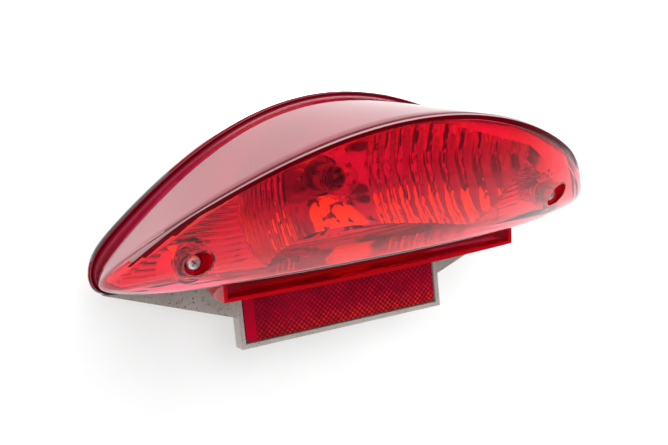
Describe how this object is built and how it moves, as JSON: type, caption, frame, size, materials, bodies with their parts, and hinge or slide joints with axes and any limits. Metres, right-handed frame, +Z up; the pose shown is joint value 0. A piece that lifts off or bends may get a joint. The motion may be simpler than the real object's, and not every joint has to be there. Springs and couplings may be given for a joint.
{
  "type": "motorcycle tail light",
  "caption": "Hooded tail light with a red lens held by screws, a metallised reflector, a bayonet bulb and a reflex reflector on a moulded base.",
  "frame": {"origin": "on the mounting plane, where the turret and the three bosses end, on the lamp's centre line and level with the middle of the parting plane under the lens, which is 34.5 mm in front of it", "axes": "+X across the lamp to the right as seen from behind the vehicle, +Z up, -Y out of the lens, +Y into the vehicle"},
  "size_m": [0.275, 0.1381, 0.1258],
  "materials": {
    "grey_plastic": "fine moulded grain",
    "brass": "turned",
    "metallised": "vacuum metallised plastic, bright",
    "rubber": "moulded",
    "red_lens": "clear red acrylic, polished",
    "zinc_screw": "bright zinc plated",
    "zinc_sheet": "zinc plated sheet",
    "fibre_board": "pressed fibre board",
    "spring_steel": "drawn wire and pressed strip",
    "bulb_brass": "nickel washed brass",
    "insulator": "black glass insulator",
    "solder": "soft solder domes",
    "clear_glass": "clear blown glass",
    "filament_wire": "drawn wire",
    "reflex_red": "red prismatic acrylic",
    "white_plastic": "moulded",
    "tail_lead": "vinyl insulation",
    "stop_lead": "vinyl insulation",
    "ground_lead": "vinyl insulation",
    "sleeve_vinyl": "vinyl"
  },
  "bodies": {
    "base": {"base_housing": "grey_plastic", "mounting_inserts": "brass", "reflector": "metallised", "lens_gasket": "rubber", "bulb_socket": "zinc_sheet", "socket_rivets": "zinc_screw", "reflex_lens": "reflex_red", "reflex_backing": "white_plastic", "reflex_push_nuts": "spring_steel", "wire_grommet": "rubber", "tail_wire": "tail_lead", "stop_wire": "stop_lead", "ground_wire": "ground_lead", "terminal_sleeves": "sleeve_vinyl", "bullet_terminals": "brass", "contact_spring": "spring_steel"},
    "lens_cover": {"lens": "red_lens"},
    "left_screw": {"left_lens_screw": "zinc_screw"},
    "right_screw": {"right_lens_screw": "zinc_screw"},
    "bulb": {"bulb_cap": "bulb_brass", "bulb_insulator": "insulator", "bulb_contacts": "solder", "bulb_glass": "clear_glass", "bulb_stem": "clear_glass", "tail_filament": "filament_wire", "stop_filament": "filament_wire", "filament_supports": "filament_wire"},
    "contact_carrier": {"contact_plate": "fibre_board", "contact_studs": "brass"}
  },
  "joints": [
    {"name": "lens_off", "type": "slide", "parent": "base", "child": "lens_cover", "axis": [0, -1, 0], "range_m": [0, 0.12]},
    {"name": "left_screw_turn", "type": "hinge", "parent": "lens_cover", "child": "left_screw", "pos_m": [-0.1, -0.0898, -0.0169], "axis": [0, -1, 0], "continuous": true},
    {"name": "right_screw_turn", "type": "hinge", "parent": "lens_cover", "child": "right_screw", "pos_m": [0.1, -0.0898, -0.0169], "axis": [0, -1, 0], "continuous": true},
    {"name": "bulb_push", "type": "slide", "parent": "base", "child": "bulb", "axis": [0, 1, 0], "range_m": [0, 0.0025]},
    {"name": "contact_push", "type": "slide", "parent": "base", "child": "contact_carrier", "axis": [0, 1, 0], "range_m": [0, 0.0025], "deforming": ["contact_spring", "tail_wire", "stop_wire"]}
  ],
  "couplings": [
    {"joint": "contact_push", "follows": "bulb_push", "ratio": 1}
  ]
}
